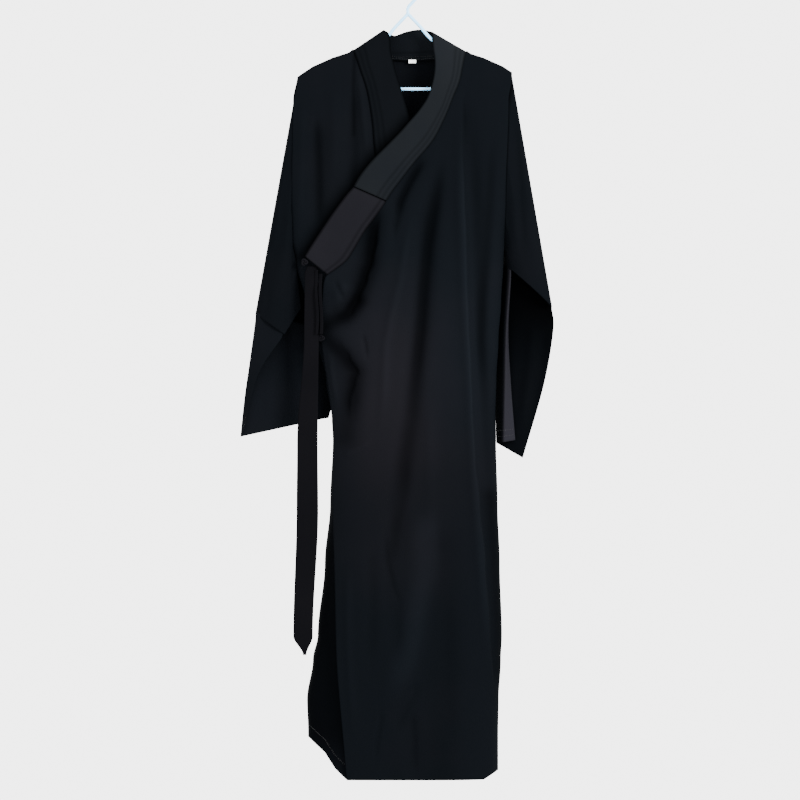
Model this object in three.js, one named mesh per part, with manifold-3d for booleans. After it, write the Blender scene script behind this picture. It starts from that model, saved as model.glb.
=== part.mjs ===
// A black crossed-front robe hanging on a plastic clothes hanger, as its separate cut pieces.
// Millimetres, +Z up, the front faces -Y. The origin is the inner top of the hook, where it hangs.
import * as THREE from 'three';
import Module from 'manifold-3d';

const wasm = await Module();
wasm.setup();

// Cloth
const panelWall = 1.6;
const collarWall = 2.4;
const tieWall = 1.6;
const labelWall = 1.0;
const seamHalf = 0.6;
const seamGap = 0.9;
const armholeGap = 1;

// Hanger
const rodRadius = 3;
const rodSides = 8;
const hookRadius = 23;
const hookCentreZ = -20;
const hookStartAngle = THREE.MathUtils.degToRad(-25);
const hookEndAngle = THREE.MathUtils.degToRad(200);
const hookSteps = 10;
const hookNeck = [[0, -54], [9, -43]];
const ridgeAboveArm = 5.3;

// Body
const hemZ = -1483;
const underlapInset = 7;
const overlapSideExtra = 14;
const underarmDropLeft = 348;
const underarmDropRight = 318;
const neckMiddleX = 4.8;
const neckHalfWidth = 111.8;
const neckDepth = 32;
const neckSeamZ = -149;
const neckSeamRise = 11.5;
const neckTilt = 1.7;
const freeEdgeHalfWidth = 45;
const freeEdgeDepth = 25;
const freeEdgeZ = -98;
const freeEdgeDip = 9;
const neckFadeDrop = 150;
const backTopZMean = -150;
const sleeveHalfDepth = 20;
const sleeveEndDrop = 1.26;
const ringColumns = 24;

// How far down the shoulder's slope and the hem's slant reach into a panel
const shoulderReach = 240;
const hemReachFrom = 1230;

// Hanger arm from the middle out, as x and z of the rod's centre line
const armPath = [
  [0, -66], [22, -88], [46, -114], [80, -130], [112, -143], [140, -152], [176, -168],
];
const armEnd = [[186, -179], [185, -194], [172, -204.5]];

// Sides of the hanging body: z, left x, right x
const bodySides = [
  [-178, -205, 193], [-227, -213, 186], [-412, -215, 181], [-486, -214, 179], [-526, -207, 177],
  [-597, -191, 173], [-671, -167, 168], [-745, -152, 164], [-815, -141, 162], [-856, -139, 163],
  [-974, -144, 166], [-1085, -154, 170], [-1218, -167, 174], [-1263, -176, 172], [-1337, -187, 164],
  [-1396, -185, 162], [-1483, -183, 162],
];

// Half depth of front and back against the drop below the shoulder
const depthByDrop = [
  [0, 0], [1.2, 3.4], [3.5, 4.9], [9, 5.8], [40, 12], [120, 25], [260, 35], [460, 43], [760, 50],
  [1060, 56], [1400, 62],
];

// Half opening of the armhole against the share of the way down to the underarm
const armholeOpen = [
  [0, 0], [0.0035, 3.4], [0.01, 4.9], [0.026, 5.6], [0.2, 9], [0.5, 14], [0.85, 9], [1, 0],
];

// Left edge of the overlapping front: its collar seam, then its free edge, z and x
const overlapSeam = [
  [-139.5, 116.6], [-156, 114.7], [-175, 111], [-217, 100], [-264, 78], [-310, 50], [-356, 13],
  [-388, -26], [-410, -41], [-445, -67], [-495, -107], [-537, -139], [-552, -153.5],
];
const overlapFree = [
  [-597, -159], [-667, -161], [-745, -150], [-837, -139], [-967, -139], [-1128, -135],
  [-1276, -131], [-1429, -118], [-1483, -113],
];

// Inner edge of the front below it, z and x
const underlapSeam = [
  [-135.7, -107], [-156, -98], [-190, -90], [-227, -76], [-264, -64], [-310, -42], [-356, -5],
  [-388, 34],
];
const underlapFree = [[-470, 66], [-600, 84], [-1483, 90]];

// Free edge of the collar, x and z, one point for each seam point
const overlapCollarFree = [
  [46, -118], [48, -140], [50, -175], [43, -208], [24, -241], [0, -267], [-37, -306], [-85, -358],
  [-107, -388], [-129, -417], [-159, -460], [-181, -497], [-189, -517],
];
const underlapCollarFree = [
  [-44, -118], [-40, -140], [-33, -180], [-24, -215], [-14, -243], [10, -270], [45, -306], [85, -348],
];
const collarSplit = 8;

// Height of the hem against x: the hidden left corner hangs higher
const hemLine = [
  [-190, -1403], [-183, -1407], [-154, -1433], [-135, -1462], [-113, -1483], [140, -1483], [165, -1468],
];

// Folds of the front: depth inward (a ridge is negative), half width, path of x and z
const frontFolds = [
  {
    depth: 10,
    width: 17,
    path: [[67, -319], [41, -449], [28, -600], [7, -815], [-29, -1004], [-20, -1102]],
  },
  { depth: 5, width: 15, path: [[28, -319], [-15, -413], [-24, -449]] },
  {
    depth: -9,
    width: 13,
    path: [[98, -219], [102, -412], [111, -621], [119, -750], [128, -930], [143, -1128], [157, -1324]],
  },
  { depth: 6, width: 13, path: [[122, -250], [128, -420], [134, -621], [141, -800], [150, -1000]] },
  { depth: 7, width: 15, path: [[-61, -412], [-68, -532], [-92, -598], [-116, -630], [-150, -645]] },
  { depth: 7, width: 13, path: [[-146, -672], [-125, -702], [-98, -724], [-100, -760], [-107, -805]] },
  { depth: -6, width: 17, path: [[-110, -560], [-128, -600], [-140, -618]] },
  { depth: -5, width: 24, path: [[24, -1018], [0, -1176], [-39, -1324]] },
  { depth: 4, width: 15, path: [[6, -1350], [10, -1490]] },
  { depth: 5, width: 12, path: [[-100, -200], [-104, -300], [-99, -412]] },
  { depth: 5, width: 18, path: [[-163, -250], [-165, -380], [-160, -486]] },
];
const backFolds = [
  { depth: 8, width: 18, path: [[-95, -260], [-80, -560], [-60, -900], [-66, -1300]] },
  { depth: -6, width: 20, path: [[-10, -300], [-4, -700], [8, -1200]] },
  { depth: 8, width: 18, path: [[104, -280], [92, -620], [84, -1000], [96, -1490]] },
];

// Lower ends of the sleeves, x and z. The front of each ends on a slant.
const leftSleeve = {
  side: -1,
  outer: [-283, -623],
  frontCorner: [-229, -660],
  cornerColumn: 8,
  inner: [-199, -606],
  backStart: [-194, -648],
  backColumn: 13,
};
const rightSleeve = {
  side: 1,
  outer: [267, -608],
  frontCorner: [226, -570],
  cornerColumn: 6,
  inner: [184, -539.5],
  backStart: [184, -539.5],
  backColumn: 12,
};

// Sections of the sleeve ends: free front edge, fold between front and back, free back edge
const leftEndSections = [
  { frontEdge: [-229, -660], fold: [-283, -623], backEdge: [-194, -648] },
  { frontEdge: [-270, -719], fold: [-294, -708], backEdge: [-182, -706] },
  { frontEdge: [-288, -766], fold: [-303, -772], backEdge: [-164, -765] },
  { frontEdge: [-304, -838], fold: [-311, -850], backEdge: [-148, -815] },
];
const rightEndSections = [
  { frontEdge: [188, -542.5], fold: [184, -539.5], backEdge: [267, -608] },
  { frontEdge: [185, -652], fold: [180, -648], backEdge: [270, -652] },
  { frontEdge: [189, -754], fold: [176, -752], backEdge: [252, -754] },
  { frontEdge: [198, -856], fold: [171, -861], backEdge: [213, -889] },
];

// Wide tie: z, left x, right x
const tieSections = [
  [-534, -185, -169], [-548, -189, -166], [-660, -190, -165], [-863, -205, -167], [-985, -206, -166],
  [-1218, -212, -176], [-1240, -205, -181],
];
const tiePoint = [-1253, -194, -188];
const tieHangY = -37;

const clamp = THREE.MathUtils.clamp;
const lerp = THREE.MathUtils.lerp;
const smooth = THREE.MathUtils.smoothstep;

// Reads a table by its first column, straight between rows
function readTable(rows, at, column = 1) {
  const falling = rows[rows.length - 1][0] < rows[0][0];
  const before = (a, b) => (falling ? a > b : a < b);
  let i = 0;
  while (i < rows.length - 2 && before(rows[i + 1][0], at)) {
    i += 1;
  }
  const share = clamp((at - rows[i][0]) / (rows[i + 1][0] - rows[i][0]), 0, 1);
  return lerp(rows[i][column], rows[i + 1][column], share);
}

// Reads a table as a smooth curve through its rows
function readCurve(rows, at, column = 1) {
  const falling = rows[rows.length - 1][0] < rows[0][0];
  const before = (a, b) => (falling ? a > b : a < b);
  let i = 0;
  while (i < rows.length - 2 && before(rows[i + 1][0], at)) {
    i += 1;
  }
  const slope = (k) => {
    const a = rows[Math.max(k - 1, 0)];
    const b = rows[Math.min(k + 1, rows.length - 1)];
    return (b[column] - a[column]) / (b[0] - a[0]);
  };
  const span = rows[i + 1][0] - rows[i][0];
  const t = clamp((at - rows[i][0]) / span, 0, 1);
  const t2 = t * t;
  const t3 = t2 * t;
  return (2 * t3 - 3 * t2 + 1) * rows[i][column] + (t3 - 2 * t2 + t) * span * slope(i)
    + (3 * t2 - 2 * t3) * rows[i + 1][column] + (t3 - t2) * span * slope(i + 1);
}

// Sum of the folds at a point: a bell across each path that fades out at both ends
function foldDepth(folds, x, z) {
  let sum = 0;
  for (const fold of folds) {
    let nearest = Infinity;
    let place = 0;
    let total = 0;
    for (let i = 0; i + 1 < fold.path.length; i += 1) {
      const [ax, az] = fold.path[i];
      const [bx, bz] = fold.path[i + 1];
      const length = Math.hypot(bx - ax, bz - az);
      const share = clamp(((x - ax) * (bx - ax) + (z - az) * (bz - az)) / (length * length), 0, 1);
      const distance = Math.hypot(x - lerp(ax, bx, share), z - lerp(az, bz, share));
      if (distance < nearest) {
        nearest = distance;
        place = total + share * length;
      }
      total += length;
    }
    const along = place / total;
    const fade = smooth(along, 0, 0.2) * (1 - 0.85 * smooth(along, 0.75, 1));
    sum += fold.depth * Math.exp(-((nearest / fold.width) ** 2)) * fade;
  }
  return sum;
}

const ridgeRows = [...armPath.map(([x, z]) => [x, z + ridgeAboveArm]), [194, -174.5], [206, -183]];
const ridgeZ = (x) => readTable(ridgeRows, Math.abs(x));
const leftSide = (z) => readCurve(bodySides, z, 1);
const rightSide = (z) => readCurve(bodySides, z, 2);

// How far the cloth stands out between the side edges: 0 at an edge, 1 across the middle
function bulge(x, left, right) {
  const u = clamp((2 * x - left - right) / (right - left), -1, 1);
  return Math.sqrt(1 - u ** 4);
}

function armholeHalf(x, drop) {
  const underarm = x < 0 ? underarmDropLeft : underarmDropRight;
  return readTable(armholeOpen, drop / underarm);
}

// Front of the robe as y over x and z. Inset lowers it and extra widens its left side.
function frontY(x, z, inset = 0, extra = 0) {
  const drop = Math.max(ridgeZ(x) - z, 0);
  const edge = armholeHalf(x, drop);
  const out = bulge(x, leftSide(z) - extra, rightSide(z));
  const deep = readTable(depthByDrop, drop) - inset;
  return -(seamHalf + lerp(edge, deep, out)) + foldDepth(frontFolds, x, z) * out;
}
const overlapY = (x, z) => frontY(x, z, 0, overlapSideExtra * smooth(-z, 230, 420));
const underlapY = (x, z) => frontY(x, z, underlapInset * smooth(-z, 150, 225));

// Back of the robe as y over x and the drop below its top edge
function neckShare(x) {
  return clamp((x - neckMiddleX) / neckHalfWidth, -1, 1);
}
const necklineZ = (share) => neckSeamZ + neckSeamRise * share * share - neckTilt * share;
function backTopZ(x) {
  const share = neckShare(x);
  return Math.abs(share) < 1 ? necklineZ(share) - seamGap : ridgeZ(x);
}
function backY(x, z) {
  const drop = Math.max(backTopZ(x) - z, 0);
  const edge = armholeHalf(x, drop);
  const out = bulge(x, leftSide(z), rightSide(z));
  const neck = neckDepth * Math.sqrt(1 - neckShare(x) ** 2) * Math.exp(-drop / neckFadeDrop);
  return seamHalf + lerp(edge, readTable(depthByDrop, drop), out) + neck
    - foldDepth(backFolds, x, z) * out;
}

// A closed wall of even thickness on a grid of points, rows down and columns across
function wallGeometry(grid, thickness, ring = false) {
  const rows = grid.length;
  const columns = grid[0].length;
  const wrap = (j) => (ring ? (j + columns) % columns : clamp(j, 0, columns - 1));
  const at = (i, j) => grid[clamp(i, 0, rows - 1)][wrap(j)];
  const positions = [];
  for (const side of [1, -1]) {
    for (let i = 0; i < rows; i += 1) {
      for (let j = 0; j < columns; j += 1) {
        const across = at(i, j + 1).clone().sub(at(i, j - 1)).normalize();
        const down = at(i + 1, j).clone().sub(at(i - 1, j)).normalize();
        const normal = across.cross(down).normalize().multiplyScalar(side * thickness / 2);
        positions.push(...at(i, j).clone().add(normal).toArray());
      }
    }
  }
  const index = (side, i, j) => side * rows * columns + i * columns + wrap(j);
  const faces = [];
  const quad = (a, b, c, d) => faces.push(a, b, c, a, c, d);
  const lastColumn = ring ? columns : columns - 1;
  for (let i = 0; i + 1 < rows; i += 1) {
    for (let j = 0; j < lastColumn; j += 1) {
      quad(index(0, i, j), index(0, i, j + 1), index(0, i + 1, j + 1), index(0, i + 1, j));
      quad(index(1, i, j), index(1, i + 1, j), index(1, i + 1, j + 1), index(1, i, j + 1));
    }
    if (!ring) {
      quad(index(0, i, 0), index(0, i + 1, 0), index(1, i + 1, 0), index(1, i, 0));
      const j = columns - 1;
      quad(index(0, i, j), index(1, i, j), index(1, i + 1, j), index(0, i + 1, j));
    }
  }
  for (let j = 0; j < lastColumn; j += 1) {
    const i = rows - 1;
    quad(index(0, 0, j), index(1, 0, j), index(1, 0, j + 1), index(0, 0, j + 1));
    quad(index(0, i, j), index(0, i, j + 1), index(1, i, j + 1), index(1, i, j));
  }
  const geometry = new THREE.BufferGeometry();
  geometry.setAttribute('position', new THREE.Float32BufferAttribute(positions, 3));
  geometry.setIndex(faces);
  turnOutward(geometry);
  return geometry;
}

// Reverses the faces of a closed mesh whose volume comes out negative
function turnOutward(geometry) {
  const p = geometry.attributes.position;
  const index = geometry.index.array;
  const a = new THREE.Vector3();
  const b = new THREE.Vector3();
  const c = new THREE.Vector3();
  let volume = 0;
  for (let k = 0; k < index.length; k += 3) {
    a.fromBufferAttribute(p, index[k]);
    b.fromBufferAttribute(p, index[k + 1]);
    c.fromBufferAttribute(p, index[k + 2]);
    volume += a.dot(b.cross(c));
  }
  if (volume < 0) {
    for (let k = 0; k < index.length; k += 3) {
      [index[k + 1], index[k + 2]] = [index[k + 2], index[k + 1]];
    }
  }
}

const range = (count) => Array.from({ length: count }, (_, i) => i);
const between = (from, to, share) => from.map((value, k) => lerp(value, to[k], share));

// Shares of the way across, closer together towards a side edge that turns round
const towardsEdge = (t) => 0.35 * t + 0.65 * Math.sin(t * Math.PI / 2);
const towardsBothEdges = (t) => (1 + Math.sign(t - 0.5) * towardsEdge(Math.abs(2 * t - 1))) / 2;

// Drops of the first rows below a shoulder, then even rows a little closer near the top
const topDrops = [0, 1.2, 3.5, 9];
const firstEvenRow = 22;
const rowsClosing = 1.15;

// Back panel, from the neck seam and shoulders to the hem
function backGrid(columns, lowerRows) {
  const total = backTopZMean - hemZ;
  const shares = [
    ...topDrops.map((drop) => drop / total),
    ...range(lowerRows).map((i) => lerp(firstEvenRow / total, 1, (i / (lowerRows - 1)) ** rowsClosing)),
  ];
  return shares.map((share) => range(columns + 1).map((j) => {
    const w = towardsBothEdges(j / columns);
    let z = lerp(backTopZMean, hemZ, share);
    let x = 0;
    for (let pass = 0; pass < 4; pass += 1) {
      x = lerp(leftSide(z), rightSide(z), w);
      z = lerp(backTopZ(x), readTable(hemLine, x), share);
    }
    return new THREE.Vector3(x, backY(x, z), z);
  }));
}

// Front panel between an inner edge table and a side, sheared to the shoulder and the hem
function frontGrid({ rowHeights, innerX, sideX, surface, columns }) {
  const top = rowHeights[0];
  return rowHeights.map((height) => range(columns + 1).map((j) => {
    const w = towardsEdge(j / columns);
    const fromX = innerX(height);
    let x = lerp(fromX, sideX(height), w);
    let z = height;
    for (let pass = 0; pass < 3; pass += 1) {
      const shoulder = (ridgeZ(x) - ridgeZ(fromX)) * (1 - smooth(top - height, 0, shoulderReach));
      const hem = (readTable(hemLine, x) - hemZ) * smooth(-height, hemReachFrom, -hemZ);
      z = height + shoulder + hem;
      x = lerp(fromX, sideX(z), w);
    }
    return new THREE.Vector3(x, surface(x, z), z);
  }));
}

function frontRows(seam, freeTop, count) {
  const top = seam[0][0];
  const stations = seam.slice(1).map(([z]) => z);
  return [
    ...topDrops.map((drop) => top - drop),
    ...stations,
    ...range(count).map((i) => lerp(freeTop, hemZ, (i + 1) / count)),
  ];
}

// One point of a station of the collar band: t is 0 at the seam and 1 at the free edge
function collarGrid(stations, across) {
  return stations.map(({ seam, free, lay }) => range(across + 1).map((k) => {
    const [x, z] = between(seam, free, k / across);
    return new THREE.Vector3(x, lay(x, z, k / across), z);
  }));
}

function seamStations(seam, free, surface) {
  return seam.map(([z, x], i) => {
    const width = Math.hypot(free[i][0] - x, free[i][1] - z);
    return { seam: between([x, z], free[i], seamGap / width), free: free[i], lay: surface };
  });
}

// Where the collar turns over the shoulder, at the same drops as the first rows of the fronts
function shoulderStations(seam, freeX, surface) {
  return topDrops.slice(1).map((drop) => {
    const z = seam[0][0] - drop;
    const x = readTable(seam, z);
    const seamPoint = [x - Math.sign(x) * seamGap, z];
    return { seam: seamPoint, free: [freeX, ridgeZ(freeX) - drop], lay: surface };
  });
}

// The collar round the back of the neck, from the right shoulder to the left one
function neckStations(steps) {
  return range(steps + 1).map((i) => {
    const angle = Math.PI * i / steps;
    const c = Math.cos(angle);
    const s = Math.sin(angle);
    return {
      seam: [neckMiddleX + (neckHalfWidth - seamGap) * c, necklineZ(c) + 0.3 + collarWall * c * c],
      free: [freeEdgeHalfWidth * c, freeEdgeZ - freeEdgeDip * c * c],
      lay: (x, z, t) => lerp(neckDepth * s + seamHalf, freeEdgeDepth * s, t),
    };
  });
}

// Armhole end of a sleeve, as the ring of its first section
function armholePoint(side, j) {
  const around = j / ringColumns;
  const underarm = side < 0 ? underarmDropLeft : underarmDropRight;
  const share = (1 - Math.cos(2 * Math.PI * around)) / 2;
  const sideX = side < 0 ? leftSide : rightSide;
  const top = ridgeZ(sideX(-178));
  const z = top - underarm * share;
  const half = seamHalf + readTable(armholeOpen, share);
  const y = -Math.sign(Math.sin(2 * Math.PI * around)) * (j % (ringColumns / 2) === 0 ? 0 : half);
  return new THREE.Vector3(sideX(z) + side * (panelWall / 2 + armholeGap), y, z);
}

const ringY = (j) => {
  const s = Math.sin(2 * Math.PI * j / ringColumns);
  return -Math.sign(s) * sleeveHalfDepth * Math.abs(s) ** 0.6;
};

// Lower end of an upper sleeve: outer fold, slanted front, inner fold, level back
function sleeveEndPoint(sleeve, j) {
  const half = ringColumns / 2;
  let place;
  if (j <= sleeve.cornerColumn) {
    place = between(sleeve.outer, sleeve.frontCorner, j / sleeve.cornerColumn);
  } else if (j <= half) {
    const share = (j - sleeve.cornerColumn) / (half - sleeve.cornerColumn);
    place = between(sleeve.frontCorner, sleeve.inner, share);
  } else {
    const share = (j - sleeve.backColumn) / (ringColumns - sleeve.backColumn);
    place = between(sleeve.backStart, sleeve.outer, share);
  }
  return new THREE.Vector3(place[0], Math.abs(ringY(j)) < 1e-6 ? 0 : ringY(j), place[1]);
}

function upperSleeveGrid(sleeve, rows) {
  return range(rows + 1).map((i) => range(ringColumns).map((j) => {
    const from = armholePoint(sleeve.side, j);
    const to = sleeveEndPoint(sleeve, j);
    const share = i / rows;
    const point = from.clone().lerp(to, share);
    point.y = lerp(from.y, to.y, smooth(share, 0, 0.7));
    return point;
  }));
}

// Reads the sections of a sleeve end at a share of the way down
function sectionAt(sections, key, share) {
  const place = share * (sections.length - 1);
  const i = Math.min(Math.floor(place), sections.length - 2);
  return between(sections[i][key], sections[i + 1][key], place - i);
}

// Sleeve end as an open sheet: a front part, the fold, then the back to its free edge
function sleeveEndGrid(sections, frontColumns, backColumns, rows) {
  const all = [...frontColumns, ...backColumns];
  return range(rows + 1).map((i) => all.map((j, k) => {
    const share = i / rows;
    const edge = sectionAt(sections, 'frontEdge', share);
    const fold = sectionAt(sections, 'fold', share);
    const back = sectionAt(sections, 'backEdge', share);
    const inFront = k < frontColumns.length;
    const last = frontColumns.length - 1;
    const place = inFront
      ? between(edge, fold, k / last)
      : between(fold, back, (k - last) / backColumns.length);
    return new THREE.Vector3(place[0], ringY(j), place[1] - sleeveEndDrop);
  }));
}

// A flat ribbon from sections of z, left x and right x with a function for its y
function ribbonGrid(sections, depth, columns) {
  return sections.map(([z, left, right]) => range(columns + 1).map((j) => {
    const x = lerp(left, right, j / columns);
    return new THREE.Vector3(x, depth(x, z), z);
  }));
}

const knotSwell = 0.1;
const knotFlatness = 0.7;

// A small knot of tape: a ball with three soft turns round it
function knotGeometry(radius, turns) {
  const geometry = new THREE.SphereGeometry(radius, 12, 8);
  const flat = geometry.attributes.position;
  const point = new THREE.Vector3();
  for (let i = 0; i < flat.count; i += 1) {
    point.fromBufferAttribute(flat, i);
    const wave = Math.sin(turns * Math.atan2(point.z, point.x)) * (1 - (point.y / radius) ** 2);
    const swell = 1 + knotSwell * wave;
    flat.setXYZ(i, point.x * swell, point.y * knotFlatness, point.z * swell);
  }
  return solidGeometry(toSolid(geometry));
}

function toSolid(geometry) {
  const plain = geometry.index ? geometry.toNonIndexed() : geometry;
  const p = plain.attributes.position;
  const keys = new Map();
  const vertProperties = [];
  const triVerts = [];
  for (let i = 0; i < p.count; i += 1) {
    const key = [p.getX(i), p.getY(i), p.getZ(i)].map((value) => Math.round(value * 1e4)).join();
    if (!keys.has(key)) {
      keys.set(key, keys.size);
      vertProperties.push(p.getX(i), p.getY(i), p.getZ(i));
    }
    triVerts.push(keys.get(key));
  }
  const kept = [];
  for (let k = 0; k < triVerts.length; k += 3) {
    const [a, b, c] = triVerts.slice(k, k + 3);
    if (a !== b && b !== c && a !== c) {
      kept.push(a, b, c);
    }
  }
  const mesh = new wasm.Mesh({
    numProp: 3,
    vertProperties: new Float32Array(vertProperties),
    triVerts: new Uint32Array(kept),
  });
  return new wasm.Manifold(mesh);
}

function solidGeometry(solid) {
  const mesh = solid.getMesh();
  const geometry = new THREE.BufferGeometry();
  geometry.setAttribute('position', new THREE.Float32BufferAttribute(mesh.vertProperties, 3));
  geometry.setIndex([...mesh.triVerts]);
  return geometry;
}

// Round rod along points of x and z in the plane of the hanger
function rodGeometry(points, steps) {
  const along = points.map(([x, z]) => new THREE.Vector3(x, 0, z));
  const curve = new THREE.CatmullRomCurve3(along, false, 'centripetal');
  const section = new THREE.Shape(range(rodSides).map((i) => {
    const angle = 2 * Math.PI * i / rodSides;
    return new THREE.Vector2(rodRadius * Math.cos(angle), rodRadius * Math.sin(angle));
  }));
  return new THREE.ExtrudeGeometry(section, { steps, bevelEnabled: false, extrudePath: curve });
}

function hangerGeometry() {
  const half = (side) => [...armPath.slice(1), ...armEnd].map(([x, z]) => [side * x, z]);
  const barZ = armEnd[armEnd.length - 1][1];
  const topZ = armPath[0][1];
  const right = rodGeometry([[-2, topZ + 2], ...half(1), [60, barZ], [-1, barZ]], 26);
  const left = rodGeometry([[2, topZ + 2], ...half(-1), [-60, barZ], [1, barZ]], 26);
  const turn = range(hookSteps + 1).map((i) => {
    const angle = lerp(hookStartAngle, hookEndAngle, i / hookSteps);
    return [hookRadius * Math.cos(angle), hookCentreZ + hookRadius * Math.sin(angle)];
  });
  const hook = rodGeometry([[0, topZ - 1], ...hookNeck, ...turn], 20);
  return solidGeometry(toSolid(right).add(toSolid(left)).add(toSolid(hook)));
}

const robe = new THREE.Group();

function addPiece(name, geometry, color, roughness = 0.9) {
  geometry.computeVertexNormals();
  const finish = { color, roughness, metalness: 0, side: THREE.DoubleSide };
  const material = new THREE.MeshStandardMaterial(finish);
  const mesh = new THREE.Mesh(geometry, material);
  mesh.name = name;
  robe.add(mesh);
}

const hangerBlue = 0x8fc4ea;
const labelWhite = 0xe8e8e6;
const clothBlack = 0x14191b;
const bandBlack = 0x1b2022;
const tieBlack = 0x1c1b1c;

function addHanger() {
  addPiece('hanger', hangerGeometry(), hangerBlue, 0.35);
}

function addBody() {
  addPiece('back', wallGeometry(backGrid(18, 22), panelWall), clothBlack);
  const overlapInner = (z) => readTable([...overlapSeam, ...overlapFree], z);
  const overlap = frontGrid({
    rowHeights: frontRows(overlapSeam, -552, 22),
    innerX: overlapInner,
    sideX: rightSide,
    surface: overlapY,
    columns: 20,
  });
  addPiece('front_overlap', wallGeometry(overlap, panelWall), clothBlack);
  const underlap = frontGrid({
    rowHeights: frontRows(underlapSeam, -388, 22),
    innerX: (z) => readTable([...underlapSeam, ...underlapFree], z),
    sideX: leftSide,
    surface: underlapY,
    columns: 14,
  });
  addPiece('front_underlap', wallGeometry(underlap, panelWall), clothBlack);
}

function addCollar() {
  const across = 3;
  const over = seamStations(overlapSeam, overlapCollarFree, overlapY);
  const under = seamStations(underlapSeam, underlapCollarFree, underlapY);
  const band = [
    ...over.slice(1, collarSplit + 1).reverse(),
    ...shoulderStations(overlapSeam, 46, overlapY).reverse(),
    ...neckStations(14),
    ...shoulderStations(underlapSeam, -44, underlapY),
    ...under.slice(1),
  ];
  addPiece('collar_band', wallGeometry(collarGrid(band, across), collarWall), bandBlack);
  const cutAt = over[collarSplit];
  const next = over[collarSplit + 1];
  const step = seamGap / Math.hypot(next.seam[0] - cutAt.seam[0], next.seam[1] - cutAt.seam[1]);
  const firstOfEnd = {
    seam: between(cutAt.seam, next.seam, step),
    free: between(cutAt.free, next.free, step),
    lay: overlapY,
  };
  const end = collarGrid([firstOfEnd, ...over.slice(collarSplit + 1)], across);
  addPiece('collar_end', wallGeometry(end, collarWall), tieBlack);
}

function addSleeves() {
  const leftUpper = upperSleeveGrid(leftSleeve, 10);
  const rightUpper = upperSleeveGrid(rightSleeve, 10);
  addPiece('sleeve_left_upper', wallGeometry(leftUpper, panelWall, true), clothBlack);
  addPiece('sleeve_right_upper', wallGeometry(rightUpper, panelWall, true), clothBlack);
  const half = ringColumns / 2;
  const leftFront = range(leftSleeve.cornerColumn + 1).map((i) => leftSleeve.cornerColumn - i);
  const leftBack = range(half - 1).map((i) => ringColumns - 1 - i);
  const leftEnd = sleeveEndGrid(leftEndSections, leftFront, leftBack, 7);
  addPiece('sleeve_left_end', wallGeometry(leftEnd, panelWall), clothBlack);
  const rightFront = [half - 2, half - 1, half];
  const rightBack = range(half).map((i) => half + 1 + i);
  const rightEnd = sleeveEndGrid(rightEndSections, rightFront, rightBack, 9);
  addPiece('sleeve_right_end', wallGeometry(rightEnd, panelWall), clothBlack);
}

function addTies() {
  const tucked = (x, z) => overlapY(x, z) + collarWall / 2 + tieWall / 2 + 1;
  const hanging = (z) => tieHangY + 2 * Math.sin(z / 90);
  const tieY = (x, z) => lerp(tucked(x, z), hanging(z), smooth(-z, 531, 575));
  const sections = [
    ...tieSections.slice(0, 2),
    ...range(18).map((i) => {
      const z = lerp(-566, -1210, i / 17);
      return [z, readCurve(tieSections, z, 1), readCurve(tieSections, z, 2)];
    }),
    tieSections[6],
    tiePoint,
  ];
  addPiece('tie_wide', wallGeometry(ribbonGrid(sections, tieY, 3), tieWall), tieBlack);
  const strand = (left, width, top) => ribbonGrid(
    range(7).map((i) => {
      const z = lerp(top, -659, i / 6);
      return [z, left + 1.5 * Math.sin(i), left + width + 1.5 * Math.sin(i)];
    }),
    (x, z) => lerp(overlapY(-160, z), tieHangY - 7, smooth(-z, 545, 590)),
    1,
  );
  addPiece('tie_strand_left', wallGeometry(strand(-171, 5, -540.6), tieWall), tieBlack);
  addPiece('tie_strand_right', wallGeometry(strand(-164, 6, -548.4), tieWall), tieBlack);
  const corner = knotGeometry(7, 3);
  corner.translate(-191.5, overlapY(-190, -526) - 3, -526.5);
  addPiece('tie_knot_corner', corner, tieBlack);
  const side = knotGeometry(6.5, 3);
  side.translate(-160, overlapY(-160, -668) - 6.2, -667);
  addPiece('tie_knot_side', side, tieBlack);
}

function addLabel() {
  const place = { left: 1, right: 15, top: -151.5, bottom: -160.5 };
  const inside = panelWall / 2 + labelWall / 2 + 0.6;
  const grid = range(3).map((i) => range(4).map((j) => {
    const x = lerp(place.left, place.right, j / 3);
    const z = lerp(place.top, place.bottom, i / 2);
    return new THREE.Vector3(x, backY(x, z) - inside, z);
  }));
  addPiece('neck_label', wallGeometry(grid, labelWall), labelWhite, 0.8);
}

addHanger();
addBody();
addCollar();
addSleeves();
addTies();
addLabel();

export default robe;
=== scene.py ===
# Black crossed-front robe on a light blue plastic hanger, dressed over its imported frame
import bpy, math
import numpy as np
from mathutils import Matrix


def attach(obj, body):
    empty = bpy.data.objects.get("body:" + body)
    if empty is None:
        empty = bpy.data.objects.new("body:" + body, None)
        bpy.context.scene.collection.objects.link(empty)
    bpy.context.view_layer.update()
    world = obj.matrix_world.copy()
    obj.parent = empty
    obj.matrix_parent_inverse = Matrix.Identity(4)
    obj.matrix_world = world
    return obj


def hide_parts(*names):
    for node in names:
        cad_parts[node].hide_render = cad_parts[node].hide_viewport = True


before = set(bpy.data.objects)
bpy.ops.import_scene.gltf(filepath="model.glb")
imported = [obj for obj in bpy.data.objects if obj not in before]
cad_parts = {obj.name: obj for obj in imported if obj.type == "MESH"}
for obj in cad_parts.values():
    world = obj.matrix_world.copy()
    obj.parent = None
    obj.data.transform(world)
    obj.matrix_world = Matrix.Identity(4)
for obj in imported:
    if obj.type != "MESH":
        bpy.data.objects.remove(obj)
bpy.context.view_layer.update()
mm = 0.001
# Walls of the cloths, and half the gap between front and back at the side seam, in millimetres
cloth = {"wall": 0.9, "collarWall": 2.0, "tieWall": 1.0, "labelWall": 0.5, "seamHalf": 0.04}
print("frame loaded", len(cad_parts), "nodes")


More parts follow.
